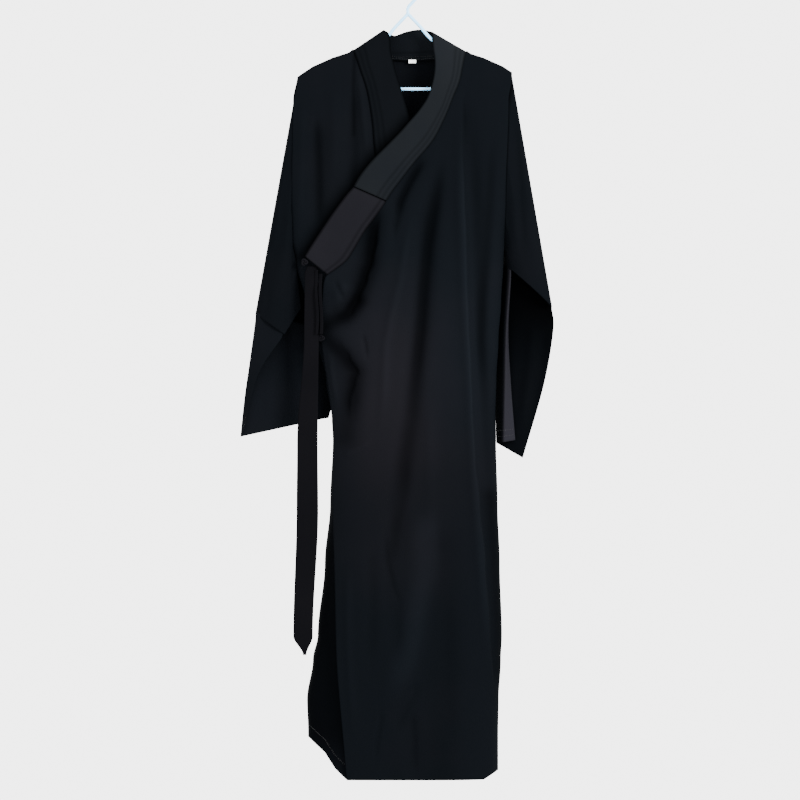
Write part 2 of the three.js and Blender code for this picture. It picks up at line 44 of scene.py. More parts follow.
# Camera: level, square to the front, as far back as keeps the robe flat
view = {"middleX": -14.8, "middleZ": -781.7, "distance": 9000, "standOff": 30, "frameWidth": 1480,
        "sensor": 36, "clipEnd": 50}
cameraData = bpy.data.cameras.new("viewCamera")
cameraData.sensor_width = view["sensor"]
cameraData.lens = view["sensor"] * view["distance"] / view["frameWidth"]
cameraData.clip_end = view["clipEnd"]
camera = bpy.data.objects.new("viewCamera", cameraData)
camera.location = (view["middleX"] * mm, -(view["distance"] + view["standOff"]) * mm, view["middleZ"] * mm)
camera.rotation_euler = (math.pi / 2, 0, 0)
bpy.context.scene.collection.objects.link(camera)
bpy.context.scene.camera = camera
print("camera set")


# Shape of the hanging cloth, in millimetres
arm = [[0, -66], [22, -88], [46, -114], [80, -130], [112, -143], [140, -152], [176, -168]]
armEnd = [[186, -179], [185, -194], [172, -204.5]]
ridge = [[x, z + 5.3] for x, z in arm] + [[194, -174.5], [206, -183]]
hemLevel = -1483
sideRows = [
    [-178, -205, 193], [-227, -213, 186], [-412, -215, 181], [-486, -214, 179], [-526, -207, 177],
    [-597, -191, 173], [-671, -167, 168], [-745, -152, 164], [-815, -141, 162], [-856, -139, 163],
    [-974, -144, 166], [-1085, -154, 170], [-1218, -167, 174], [-1263, -176, 172], [-1337, -187, 168],
    [-1396, -185, 167], [-1483, -183, 167]]
depthRows = [
    [0, 0], [1.2, 3.4], [3.5, 4.9], [9, 5.8], [40, 12], [120, 25], [260, 35], [460, 43], [760, 50],
    [1060, 56], [1400, 62]]
armholeRows = [[0, 0], [0.0035, 3.4], [0.01, 4.9], [0.026, 5.6], [0.2, 9], [0.5, 14], [0.85, 9], [1, 0]]
overlapSeam = [
    [-135.5, 106.5], [-148, 103.5], [-168, 99.4], [-193, 94], [-221.5, 82], [-244, 73.6], [-267, 63.3],
    [-293, 50.5], [-313.6, 36], [-339.5, 13], [-377.6, -16], [-400.5, -33.3], [-413.5, -41],
    [-430, -52], [-467, -79.5], [-506, -102.7], [-526, -117], [-550, -150]]
overlapFree = [
    [-597, -159], [-667, -161], [-745, -150], [-837, -139], [-967, -139], [-1128, -135],
    [-1276, -131], [-1429, -118], [-1483, -113]]
underlapSeam = [
    [-133.2, -101], [-147, -95], [-172, -87], [-193, -79.5], [-213, -74], [-244, -68.5], [-275, -64.5],
    [-309, -62], [-345, -55], [-388, -20]]
underlapFree = [[-470, 40], [-600, 80], [-1483, 90]]
overlapCollar = [
    [44.4, -102], [44.8, -122], [48.8, -145], [49.4, -166], [45.9, -191], [36, -222], [18, -248.3],
    [1.7, -266.8], [-14, -285], [-37.4, -308.8], [-70, -342], [-91, -369], [-101, -387],
    [-113, -401], [-137, -433], [-162, -470], [-179, -496], [-191, -516]]
underlapCollar = [
    [-31, -104], [-33, -120], [-31, -140], [-26, -160], [-20, -182], [-9, -217], [0, -248],
    [8, -276], [22, -312], [52, -350]]
hemRows = [
    [-190, -1403], [-183, -1407], [-154, -1433], [-135, -1462], [-113, -1483], [140, -1483], [165, -1468]]
underarmLeft = 348
underarmRight = 318

# Folds: how deep they go in (a ridge is negative), half width, and the path as x and z
frontFolds = [
    (8, 19, [[67, -319], [41, -449], [28, -600], [7, -815], [-22, -980], [-30, -1060]]),
    (2.5, 14, [[-18, -960], [-34, -1080], [-26, -1190], [-12, -1290]]),
    (5, 15, [[28, -319], [-15, -413], [-24, -449]]),
    (-9, 13, [[98, -219], [102, -412], [111, -621], [119, -750], [128, -930], [143, -1128], [157, -1324]]),
    (3, 15, [[122, -250], [128, -420], [134, -621], [141, -800], [150, -1000]]),
    (7, 15, [[-61, -412], [-68, -532], [-92, -598], [-116, -630], [-150, -645]]),
    (6, 14, [[-78, -582], [-107, -622], [-149, -643], [-178, -652]]),
    (7, 15, [[-178, -652], [-146, -674], [-116, -700], [-92, -730], [-99, -770], [-109, -838]]),
    (-6, 17, [[-110, -560], [-128, -600], [-140, -618]]),
    (-8, 26, [[26, -960], [28, -1100], [4, -1230], [-39, -1360]]),
    (2.5, 15, [[6, -1350], [10, -1490]]),
    (3, 14, [[-100, -200], [-104, -300], [-99, -412]]),
    (5, 18, [[-163, -250], [-165, -380], [-160, -486]])]
backFolds = [
    (8, 18, [[-95, -260], [-80, -560], [-60, -900], [-66, -1300]]),
    (-6, 20, [[-10, -300], [-4, -700], [8, -1200]]),
    (8, 18, [[104, -280], [92, -620], [84, -1000], [96, -1490]])]
# Finer creases of the dressed cloth
frontCreases = [
    (4, 10, [[70, -297], [59, -354], [50, -427], [36, -500], [29, -569], [24, -652], [15, -726], [6, -800]]),
    (5, 7, [[33, -331], [17, -356], [4, -378], [-13, -412], [-24, -462], [-28, -495]]),
    (-4, 10, [[9, -420], [-4, -502], [-13, -560], [-30, -628], [-40, -680], [-44, -782], [-52, -860]]),
    (4, 4, [[-137, -560], [-127, -578], [-117, -597]]),
    (2.5, 12, [[-152, -578], [-140, -600], [-126, -622]]),
    (3.5, 4, [[-83, -659], [-78, -684], [-76, -704]]),
    (-3, 5, [[-146, -690], [-140, -742], [-132, -790]]),
    (-3, 6, [[-121, -886], [-92, -872], [-65, -858]]),
    (2, 10, [[2, -880], [-6, -954], [-20, -1010], [-33, -1100]]),
    (2, 5, [[-42, -1020], [-38, -1080], [-26, -1130], [-12, -1170]]),
    (4.5, 11, [[157, -264], [155, -312], [152, -397], [146, -513], [137, -600], [133, -671], [141, -800]]),
    (2.5, 8, [[-101, -192], [-100, -240], [-100, -282], [-98, -325], [-103, -365], [-111, -402]]),
    (-3, 7, [[-92, -160], [-86, -227], [-80, -280], [-74, -338]]),
    (3.5, 7, [[-172, -240], [-168, -304], [-165, -369], [-165, -426], [-168, -470]]),
    (-3.5, 11, [[-194, -210], [-196, -338], [-200, -449], [-199, -482]]),
    (-2.5, 14, [[-133, -190], [-135, -319], [-142, -393]]),
    (3, 9, [[22, -1300], [-8, -1360], [-26, -1396]]),
    (2.5, 5, [[-48, -1350], [-55, -1400], [-62, -1450]]),
    (1.8, 6, [[8, -1352], [11, -1400], [14, -1470]]),
    (-2.5, 14, [[40, -760], [44, -960], [52, -1160]]),
    (3, 12, [[-70, -1040], [-66, -1160], [-72, -1290]]),
    (2.5, 16, [[72, -1120], [76, -1280], [80, -1440]]),
    (-3, 8, [[-112, -1080], [-110, -1240], [-100, -1400]])]
# Pleats that step down on one side: depth, reach, side (1 is to the right) and path
frontPleats = [
    (6.5, 26, 1, [[99, -195], [101, -300], [104, -412], [107, -484], [108, -556], [111, -640], [115, -712],
                  [118, -790], [123, -892], [131, -975], [141, -1080], [150, -1200], [158, -1330]]),
    (9, 18, -1, [[-50, -424], [-56, -484], [-63, -522], [-74, -556], [-88, -594], [-101, -617],
                 [-121, -634], [-150, -646]]),
    (6, 22, -1, [[-140, -655], [-122, -676], [-106, -700], [-90, -730], [-96, -748], [-106, -785],
                 [-108, -828]])]
# Painted shadows where wide folds shade the cloth beside them, and a painted crease line: strength, reach and
# path
paintedFrontShadows = [
    (0.42, 20, [[-66, -440], [-74, -530], [-94, -592], [-120, -624], [-158, -642]]),
    (0.38, 20, [[-160, -662], [-126, -700], [-104, -730], [-106, -780], [-114, -850]]),
    (0.4, 15, [[152, -960], [166, -1150], [176, -1330]]),
    (0.14, 30, [[62, -1050], [68, -1230], [58, -1500]]),
    (0.36, 4, [[-99, -144], [-101, -200], [-100, -290]])]
backPleats = [
    (6, 24, 1, [[-120, -240], [-112, -520], [-104, -860], [-112, -1240]]),
    (6, 24, -1, [[118, -240], [112, -500], [104, -820], [112, -1200]])]
backCreases = [
    (3, 8, [[-150, -230], [-140, -480], [-128, -760]]),
    (-3, 9, [[-126, -240], [-112, -520], [-96, -860]]),
    (3, 9, [[-40, -240], [-34, -520], [-30, -820]]),
    (-3, 10, [[60, -250], [50, -560], [44, -900]]),
    (2.5, 8, [[146, -230], [140, -500], [132, -800]]),
    (2.5, 12, [[20, -900], [24, -1200], [22, -1470]]),
    (-3, 12, [[-110, -980], [-104, -1200], [-112, -1440]]),
    (-2.5, 10, [[120, -960], [126, -1200], [124, -1440]])]


# Straight lines between the rows of a table, read at its first column.
def readStraight(rows, at, column=1):
    table = np.array(sorted(rows))
    return np.interp(at, table[:, 0], table[:, column])


# Cubic through the rows: each end slope is the chord between its two neighbours.
def readCurve(rows, at, column=1):
    table = np.array(sorted(rows))
    x, y = table[:, 0], table[:, column]
    slope = np.empty_like(y)
    slope[1:-1] = (y[2:] - y[:-2]) / (x[2:] - x[:-2])
    slope[0] = (y[1] - y[0]) / (x[1] - x[0])
    slope[-1] = (y[-1] - y[-2]) / (x[-1] - x[-2])
    at = np.asarray(at, float)
    i = np.clip(np.searchsorted(x, at) - 1, 0, len(x) - 2)
    span = x[i + 1] - x[i]
    t = np.clip((at - x[i]) / span, 0, 1)
    return ((2 * t**3 - 3 * t**2 + 1) * y[i] + (t**3 - 2 * t**2 + t) * span * slope[i]
            + (3 * t**2 - 2 * t**3) * y[i + 1] + (t**3 - t**2) * span * slope[i + 1])


# 3 t^2 - 2 t^3, with t from 0 at low to 1 at high.
def ease(value, low, high):
    t = np.clip((value - low) / (high - low), 0, 1)
    return t * t * (3 - 2 * t)


# Distance to the nearest place on a path, and that place's share of the way along it.
def pathDistance(x, z, path):
    nearest = np.full(np.broadcast(x, z).shape, 1e9)
    place = np.zeros(nearest.shape)
    walked = 0.0
    for (ax, az), (bx, bz) in zip(path[:-1], path[1:]):
        length = math.hypot(bx - ax, bz - az)
        share = np.clip(((x - ax) * (bx - ax) + (z - az) * (bz - az)) / length**2, 0, 1)
        gap = np.hypot(x - ax - share * (bx - ax), z - az - share * (bz - az))
        place = np.where(gap < nearest, walked + share * length, place)
        nearest = np.minimum(gap, nearest)
        walked += length
    return nearest, place / walked


foldFade = {"rise": 0.2, "fallFrom": 0.75, "fall": 0.85}
pleat = {"step": (-1.5, 3), "startFade": 70, "endFade": 50}


# Each fold is depth * exp(-(distance to its path / half width)^2), faded at both ends.
def foldSum(folds, x, z):
    total = np.zeros(np.broadcast(x, z).shape)
    for depth, width, path in folds:
        nearest, along = pathDistance(x, z, path)
        fade = 1 - foldFade["fall"] * ease(along, foldFade["fallFrom"], 1)
        fade = ease(along, 0, foldFade["rise"]) * fade
        total += depth * np.exp(-(nearest / width) ** 2) * fade
    return total


# A pleat is depth * exp(-distance / reach) on one side of its path, with a 4.5 mm rounded step.
def pleatSum(pleats, x, z):
    total = np.zeros(np.broadcast(x, z).shape)
    for depth, reach, side, path in pleats:
        byHeight = [[pathZ, pathX] for pathX, pathZ in path]
        line = readCurve(byHeight, z)
        slope = readCurve(byHeight, z + 1) - line
        off = side * (x - line) / np.sqrt(1 + slope**2)
        start, end = -path[0][1], -path[-1][1]
        ends = ease(-z, start, start + pleat["startFade"])
        ends = ends * (1 - ease(-z, end - pleat["endFade"], end))
        total += depth * ease(off, *pleat["step"]) * np.exp(-np.maximum(off, 0) / reach) * ends
    return total


# Low uneven waves: three crossed sines with unlike lengths.
def ripple(x, z, size, seed):
    return size * (np.sin(x / 31 + z / 210 + seed) * np.sin(z / 170 + 1.7 * seed)
                   + 0.6 * np.sin(x / 17 - z / 95 + 2.3 * seed) * np.sin(z / 120 + x / 60 + seed)
                   + 0.3 * np.sin(x / 9 + z / 60 + 3.1 * seed) * np.sin(z / 44 - x / 70))


# Size and place of the waves on each cloth, and the drops over which they set in
waves = {"front": (0.7, 0.4), "back": (0.8, 1.9), "sleeve": (0.8, 2.6), "fade": (20, 160)}


# Shoulder line: straight between the ridge's rows, the same on both sides.
def ridgeZ(x):
    return readStraight(ridge, np.abs(x))


# Side edges: curves through the side rows.
def leftSide(z):
    return readCurve(sideRows, z, 1)


def rightSide(z):
    return readCurve(sideRows, z, 2)


# Fourth-power oval: (1 - u^4)^0.5 with u from -1 to 1 between the side edges.
def bulge(x, left, right):
    u = np.clip((2 * x - left - right) / (right - left), -1, 1)
    return np.sqrt(1 - u**4)


# Half the armhole's opening, by the drop's share of the way down to the underarm.
def armholeHalf(x, drop):
    return readStraight(armholeRows, drop / np.where(x < 0, underarmLeft, underarmRight))


# Relief is the folds plus the creases plus the pleats, inwards in millimetres.
def frontRelief(x, z):
    return foldSum(frontFolds, x, z) + foldSum(frontCreases, x, z) + pleatSum(frontPleats, x, z)


def backRelief(x, z):
    return foldSum(backFolds, x, z) + foldSum(backCreases, x, z) + pleatSum(backPleats, x, z)


# Minus (gap + edge + (depth for the drop - edge) * bulge), plus relief * bulge.
def frontY(x, z, inset=0.0, extra=0.0):
    drop = np.maximum(ridgeZ(x) - z, 0)
    edge = armholeHalf(x, drop)
    out = bulge(x, leftSide(z) - extra, rightSide(z))
    deep = readStraight(depthRows, drop) - inset
    relief = frontRelief(x, z) + ripple(x, z, *waves["front"]) * ease(drop, *waves["fade"])
    return -(cloth["seamHalf"] + edge + (deep - edge) * out) + relief * out


# How far the front above reaches past the side, how far the front below lies behind it, and the
# step back of its lower left corner, each with the heights or places over which it sets in
fronts = {"past": 14, "pastFrom": (230, 420), "inset": 7, "insetFrom": (150, 225), "corner": 9,
          "cornerDown": (950, 1150), "cornerAcross": (118, 150)}


# frontY with its side moved out by past.
def overlapY(x, z):
    return frontY(x, z, extra=fronts["past"] * ease(-z, *fronts["pastFrom"]))


# frontY with its inset, plus corner * bulge in the lower left.
def underlapY(x, z):
    corner = ease(-z, *fronts["cornerDown"]) * ease(-x, *fronts["cornerAcross"])
    back = fronts["corner"] * corner * bulge(x, leftSide(z), rightSide(z))
    return frontY(x, z, fronts["inset"] * ease(-z, *fronts["insetFrom"])) + back


# Painted shade in fold depths and painted highlight on ridges, with the usual value of the warmth attribute
paintedTone = {"warmth": 0.3, "from": 0.5, "dark": 0.62, "darkDepth": 13, "light": 0.36, "lightHeight": 9}


# Painted light and shade of the cloth: 1 on the flat, painted shade in a fold's depth, painted highlight on
# its ridge.
def foldShade(relief):
    return (1 - paintedTone["dark"] * ease(relief, paintedTone["from"], paintedTone["darkDepth"])
            + paintedTone["light"] * ease(-relief, paintedTone["from"], paintedTone["lightHeight"]))


# Painted light and shade against height: brightest where the front leans out over the waist
paintedLightByHeight = [
    [-140, 0.84], [-300, 0.83], [-420, 0.88], [-560, 1.0], [-700, 1.06], [-800, 1.0], [-940, 0.8],
    [-1080, 0.79], [-1300, 0.78], [-1483, 0.78]]


# 1 on a path, falling off as exp(-(distance / width)^2).
def nearPath(x, z, path, width):
    return np.exp(-(pathDistance(x, z, path)[0] / width) ** 2)


# Painted shadow: the product of 1 - strength * nearPath over the shadows.
def paintedShadowShare(shadows, x, z):
    share = np.ones(np.broadcast(x, z).shape)
    for strength, width, path in shadows:
        share *= 1 - strength * nearPath(x, z, path, width)
    return share


neck = {"middle": 3.5, "half": 104, "depth": 32, "z": -146, "rise": 10, "tilt": 1.5, "freeHalf": 45,
        "freeDepth": 25, "under": 5, "endLift": 3, "seamIn": 1.4, "crown": 1.2, "gap": 0.9,
        "ridgeGap": 0.5, "corner": 3.4, "cornerWidth": 7, "fade": 150}
# Top edge of the collar round the back, against the cosine of the angle from the right shoulder
collarTop = [[-1, -95], [-0.8, -99], [-0.55, -105], [-0.3, -100], [0, -95.5], [0.45, -92.5], [0.75, -95],
             [1, -99]]


# z + rise * share^2 - tilt * share, with share from -1 to 1 across the neck.
def necklineZ(share):
    return neck["z"] + neck["rise"] * share**2 - neck["tilt"] * share


# Just under the neckline or the shoulder line, raised by corner * exp(-(distance / width)^2) at the
# neckline's two ends.
def backTopZ(x):
    share = np.clip((x - neck["middle"]) / neck["half"], -1, 1)
    fromEnd = (np.abs(x - neck["middle"]) - neck["half"]) / neck["cornerWidth"]
    under = np.where(np.abs(share) < 1, necklineZ(share) - neck["gap"], ridgeZ(x) - neck["ridgeGap"])
    return under + neck["corner"] * np.exp(-fromEnd**2)


# Gap + edge + (depth for the drop - edge) * bulge, plus the neck's half oval fading downwards,
# less relief * bulge.
def backY(x, z):
    drop = np.maximum(backTopZ(x) - z, 0)
    edge = armholeHalf(x, drop)
    out = bulge(x, leftSide(z), rightSide(z))
    share = np.clip((x - neck["middle"]) / neck["half"], -1, 1)
    oval = neck["depth"] * np.sqrt(1 - share**2) * np.exp(-drop / neck["fade"])
    relief = backRelief(x, z) + ripple(x, z, *waves["back"]) * ease(drop, *waves["fade"])
    deep = readStraight(depthRows, drop)
    return cloth["seamHalf"] + edge + (deep - edge) * out + oval - relief * out


def placesOf(points):
    return points[..., 0], points[..., 2]


def unit(vectors):
    return vectors / np.linalg.norm(vectors, axis=1, keepdims=True)


# Length walked from a path's start to each of its points.
def walkedTo(path):
    return np.concatenate([[0], np.cumsum(np.linalg.norm(np.diff(path, axis=0), axis=1))])


def readPath(at, walked, path):
    return np.stack([np.interp(at, walked, path[:, k]) for k in range(3)], 1)


def stack(x, y, z):
    return np.stack(np.broadcast_arrays(x, y, z), axis=-1).astype(float)


# Cross product of the differences across and down the grid.
def gridNormals(points):
    normal = np.cross(np.gradient(points, axis=1), np.gradient(points, axis=0))
    return normal / np.maximum(np.linalg.norm(normal, axis=-1, keepdims=True), 1e-9)


# Each point moves to a quarter of each neighbour along the strip plus half of itself.
def smoothRows(points, passes):
    for _ in range(passes):
        points[1:-1] = 0.25 * points[:-2] + 0.5 * points[1:-1] + 0.25 * points[2:]
    return points


def meshObject(name, vertices, faces, material, smooth=True):
    mesh = bpy.data.meshes.new(name)
    mesh.from_pydata((vertices * mm).tolist(), [], faces.tolist())
    mesh.polygons.foreach_set("use_smooth", np.full(len(mesh.polygons), smooth))
    mesh.materials.append(material)
    mesh.update()
    item = bpy.data.objects.new(name, mesh)
    bpy.context.scene.collection.objects.link(item)
    return item


def gridFaces(rows, columns, ring=False):
    last = columns if ring else columns - 1
    i, j = np.meshgrid(np.arange(rows - 1), np.arange(last), indexing="ij")
    k = (j + 1) % columns
    above, below = i * columns, (i + 1) * columns
    return np.stack([above + j, above + k, below + k, below + j], axis=-1).reshape(-1, 4)


# The faces of a tube, with its two ends joined where it is closed.
def tubeFaces(rows, sides, closed):
    faces = gridFaces(rows, sides, True)
    if closed:
        first, last = np.arange(sides), (rows - 1) * sides
        after = (first + 1) % sides
        faces = np.concatenate([faces, np.stack([last + first, last + after, after, first], 1)])
    return faces


# foldShade scales the cloth's colour with painted light and shade; the warmth attribute moves it from blue
# black to a warmer, lighter black, in places as painted light.
def setShade(mesh, values, warmth=paintedTone["warmth"]):
    count = len(mesh.vertices)
    for name, numbers in (("foldShade", values), ("warmthAndPaintedLight", warmth)):
        layer = mesh.attributes.new(name, "FLOAT", "POINT")
        numbers = np.broadcast_to(np.asarray(numbers, np.float32).ravel(), count)
        layer.data.foreach_set("value", np.ascontiguousarray(numbers))


def dress(item, node):
    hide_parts(node)
    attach(item, "root")


# A grid of points as a thin cloth shell, with a map in metres along the cloth.
def clothSheet(name, points, wall, node, slot, ring=False, shade=1.0, warmth=paintedTone["warmth"]):
    rows, columns = points.shape[:2]
    faces = gridFaces(rows, columns, ring)
    item = meshObject(name, points.reshape(-1, 3), faces, finishes[slot])
    mesh = item.data
    width = np.linalg.norm(np.diff(points[rows // 2], axis=0), axis=1).sum() * mm
    length = np.linalg.norm(np.diff(points[:, columns // 2], axis=0), axis=1).sum() * mm
    index = np.empty(len(mesh.loops), int)
    mesh.loops.foreach_get("vertex_index", index)
    across = (index % columns) / (columns - 1) * width
    down = (index // columns) / (rows - 1) * length
    layer = mesh.uv_layers.new(name="clothMap")
    layer.data.foreach_set("uv", np.stack([across, down], axis=1).ravel())
    setShade(mesh, *[np.broadcast_to(values, (rows, columns)) for values in (shade, warmth)])
    shell = item.modifiers.new("wall", "SOLIDIFY")
    shell.thickness = wall * mm
    shell.offset = 0
    dress(item, node)


# Finishes
def newFinish(name):
    material = bpy.data.materials.new(name)
    material.use_nodes = True
    tree = material.node_tree
    return material, tree, tree.nodes["Principled BSDF"]


def join(source, output, target, socket):
    source.id_data.links.new(source.outputs[output], target.inputs[socket])


def addNode(tree, kind, values=()):
    node = tree.nodes.new("ShaderNode" + kind)
    for name, value in values:
        node.inputs[name].default_value = value
    return node


def addRamp(tree, dark, light, ends=(0, 1)):
    ramp = addNode(tree, "ValToRGB")
    for element, color, place in zip(ramp.color_ramp.elements, (dark, light), ends):
        element.position = place
        element.color = (*color, 1)
    return ramp


def addAttribute(tree, name):
    node = addNode(tree, "Attribute")
    node.attribute_name = name
    return node


weft = {"driftScale": 5, "driftDetail": 5, "ramp": (0.35, 0.68), "warmShare": 0.6, "distortion": 0.6,
        "slubScale": 90, "slubDetail": 8, "twillShare": 0.35, "bump": 0.22, "bumpDepth": 0.0012,
        "rough": (0.72, 0.9), "specular": 0.004}


# Colour is 0.4 * noise + 0.6 * warmth between two near blacks, times the painted light and shade kept on the
# cloth.
# Bump is 0.35 * a fine twill on the cloth's map plus soft slubs.
def blackCloth(name, dark, light, twillScale, seed):
    material, tree, shader = newFinish(name)
    place = addNode(tree, "TexCoord")
    drift = addNode(tree, "TexNoise", [("Scale", weft["driftScale"] + seed), ("Detail", weft["driftDetail"])])
    join(place, "Object", drift, "Vector")
    tint = addRamp(tree, dark, light, weft["ramp"])
    blend = addNode(tree, "Mix", [("Factor", weft["warmShare"])])
    join(drift, "Fac", blend, "A")
    join(addAttribute(tree, "warmthAndPaintedLight"), "Fac", blend, "B")
    join(blend, "Result", tint, "Fac")
    worn = addNode(tree, "VectorMath")
    worn.operation = "SCALE"
    join(tint, "Color", worn, 0)
    join(addAttribute(tree, "foldShade"), "Fac", worn, "Scale")
    join(worn, "Vector", shader, "Base Color")
    clothMap = addNode(tree, "UVMap")
    clothMap.uv_map = "clothMap"
    twill = addNode(tree, "TexWave", [("Scale", twillScale), ("Distortion", weft["distortion"])])
    twill.bands_direction = "DIAGONAL"
    join(clothMap, "UV", twill, "Vector")
    slub = addNode(tree, "TexNoise", [("Scale", weft["slubScale"]), ("Detail", weft["slubDetail"])])
    join(place, "Object", slub, "Vector")
    mixed = addNode(tree, "Math", [(1, weft["twillShare"])])
    mixed.operation = "MULTIPLY_ADD"
    join(twill, "Fac", mixed, 0)
    join(slub, "Fac", mixed, 2)
    bump = addNode(tree, "Bump", [("Strength", weft["bump"]), ("Distance", weft["bumpDepth"])])
    join(mixed, 0, bump, "Height")
    join(bump, "Normal", shader, "Normal")
    rough = addNode(tree, "MapRange", [("To Min", weft["rough"][0]), ("To Max", weft["rough"][1])])
    join(slub, "Fac", rough, "Value")
    join(rough, "Result", shader, "Roughness")
    shader.inputs["Specular IOR Level"].default_value = weft["specular"]
    return material


plain = {"darker": 0.88, "bump": 0.08, "bumpDepth": 0.0006}


# One colour with a faint uneven surface: noise between 0.88 of it and all of it, and as bump.
def plainFinish(name, color, roughness, grain):
    material, tree, shader = newFinish(name)
    noise = addNode(tree, "TexNoise", [("Scale", grain)])
    join(addNode(tree, "TexCoord"), "Object", noise, "Vector")
    tint = addRamp(tree, [plain["darker"] * c for c in color], color)
    join(noise, "Fac", tint, "Fac")
    join(tint, "Color", shader, "Base Color")
    bump = addNode(tree, "Bump", [("Strength", plain["bump"]), ("Distance", plain["bumpDepth"])])
    join(noise, "Fac", bump, "Height")
    join(bump, "Normal", shader, "Normal")
    shader.inputs["Roughness"].default_value = roughness
    return material


robeCloth = blackCloth("robeCloth", (0.0016, 0.00205, 0.00275), (0.0029, 0.00285, 0.00365), 260, 0)
collarCloth = blackCloth("collarCloth", (0.0029, 0.0035, 0.0045), (0.0045, 0.005, 0.0055), 220, 1.5)
tieCloth = blackCloth("tieCloth", (0.0031, 0.00305, 0.0039), (0.0048, 0.0046, 0.0057), 240, 3)
threadBlack = plainFinish("threadBlack", (0.0021, 0.0024, 0.003), 0.8, 400)
hangerBlue = plainFinish("hangerBlue", (0.25, 0.55, 0.82), 0.28, 60)
labelWhite = plainFinish("labelWhite", (0.8, 0.8, 0.78), 0.8, 500)
finishes = {"robe_cloth": robeCloth, "collar_cloth": collarCloth, "tie_cloth": tieCloth,
            "label_cloth": labelWhite}
print("finishes made")


# Body panels
grids = {}
panel = {"overlapColumns": 170, "underlapColumns": 110, "backColumns": 150, "rows": 240, "fewerRows": 30,
         "firstDrop": 17, "backTop": -150, "evenShare": 0.35, "shoulderFade": 240, "hemFrom": 1230,
         "frontPasses": 4, "backPasses": 5}
topDrops = np.array([0, 0.35, 0.8, 1.4, 2.2, 3.2, 4.6, 6.4, 9, 12.5])


# 0.35 * t + 0.65 * sin(90 degrees * t), so that columns lie closer towards the side.
def towardsEdge(t):
    return panel["evenShare"] * t + (1 - panel["evenShare"]) * np.sin(t * math.pi / 2)


# Columns run from the inner edge to the side. Rows shear up to the shoulder and to the hem.
def frontPoints(seam, free, side, surface, columns, rows):
    top = seam[0][0]
    heights = np.concatenate([top - topDrops, np.linspace(top - panel["firstDrop"], hemLevel, rows)])[:, None]
    w = towardsEdge(np.linspace(0, 1, columns))[None, :]
    inner = readCurve(seam + free, heights)
    z = np.broadcast_to(heights, (len(heights), columns)).copy()
    x = inner + (side(z) - inner) * w
    for _ in range(panel["frontPasses"]):
        shoulder = 1 - ease(top - heights, 0, panel["shoulderFade"])
        shoulder = (ridgeZ(x) - ridgeZ(inner)) * shoulder
        hem = (readStraight(hemRows, x) - hemLevel) * ease(-heights, panel["hemFrom"], -hemLevel)
        z = heights + shoulder + hem
        x = inner + (side(z) - inner) * w
    return stack(x, surface(x, z), z)


# Columns run from side to side. Rows share out each column's height from top edge to hem.
def backPoints(columns, rows):
    t = np.linspace(-1, 1, columns)
    w = (1 + np.sign(t) * towardsEdge(np.abs(t)))[None, :] / 2
    total = panel["backTop"] - hemLevel
    share = np.concatenate([topDrops / total, np.linspace(panel["firstDrop"] / total, 1, rows)])[:, None]
    z = np.broadcast_to(panel["backTop"] - total * share, (len(share), columns)).copy()
    for _ in range(panel["backPasses"]):
        x = leftSide(z) + (rightSide(z) - leftSide(z)) * w
        z = backTopZ(x) + (readStraight(hemRows, x) - backTopZ(x)) * share
    return stack(x, backY(x, z), z)


# Painted shadow below the collar's edge and painted shade in the lower left corner, with the heights where
# that sets in and where it eases, and the warmer, lighter patch at the waist, painted light
paintedPatch = {"collar": 0.72, "reach": 17, "corner": 0.6, "cornerDown": (900, 1080), "eased": 0.6,
         "easedDown": (1390, 1470), "warmAt": (-30, -830), "warmSize": (120, 270), "warm": (0.22, 0.6)}


# Painted shade: (1 - 0.72 near the collar's edge, its painted shadow) * (1 - 0.6 in the lower corner).
def paintedUnderShadow(x, z):
    eased = 1 - paintedPatch["eased"] * ease(-z, *paintedPatch["easedDown"])
    corner = 1 - paintedPatch["corner"] * ease(-z, *paintedPatch["cornerDown"]) * eased
    return (1 - paintedPatch["collar"] * nearPath(x, z, overlapCollar, paintedPatch["reach"])) * corner


def makeBody():
    fewer = panel["rows"] - panel["fewerRows"]
    grids["overlap"] = frontPoints(overlapSeam, overlapFree, rightSide, overlapY,
                                   panel["overlapColumns"], panel["rows"])
    grids["underlap"] = frontPoints(underlapSeam, underlapFree, leftSide, underlapY,
                                    panel["underlapColumns"], fewer)
    grids["back"] = backPoints(panel["backColumns"], fewer)
    x, z = placesOf(grids["overlap"])
    # Warmer and lighter at the waist: painted light where the front leans out
    (midX, midZ), (width, height), (least, gain) = paintedPatch["warmAt"], paintedPatch["warmSize"], paintedPatch["warm"]
    warmth = least + gain * np.exp(-((x - midX) / width) ** 2 - ((z - midZ) / height) ** 2)
    clothSheet("frontOverlapCloth", grids["overlap"], cloth["wall"],
               "front_overlap", "robe_cloth",
               shade=foldShade(frontRelief(x, z)) * paintedShadowShare(paintedFrontShadows, x, z) * readCurve(paintedLightByHeight, z),
               warmth=warmth)
    x, z = placesOf(grids["underlap"])
    shade = foldShade(frontRelief(x, z)) * paintedUnderShadow(x, z) * paintedShadowShare(paintedFrontShadows, x, z)
    clothSheet("frontUnderlapCloth", grids["underlap"], cloth["wall"],
               "front_underlap", "robe_cloth", shade=shade * readCurve(paintedLightByHeight, z))
    x, z = placesOf(grids["back"])
    clothSheet("backCloth", grids["back"], cloth["wall"], "back", "robe_cloth",
               shade=foldShade(backRelief(x, z)) * readCurve(paintedLightByHeight, z))
    print("body panels made")


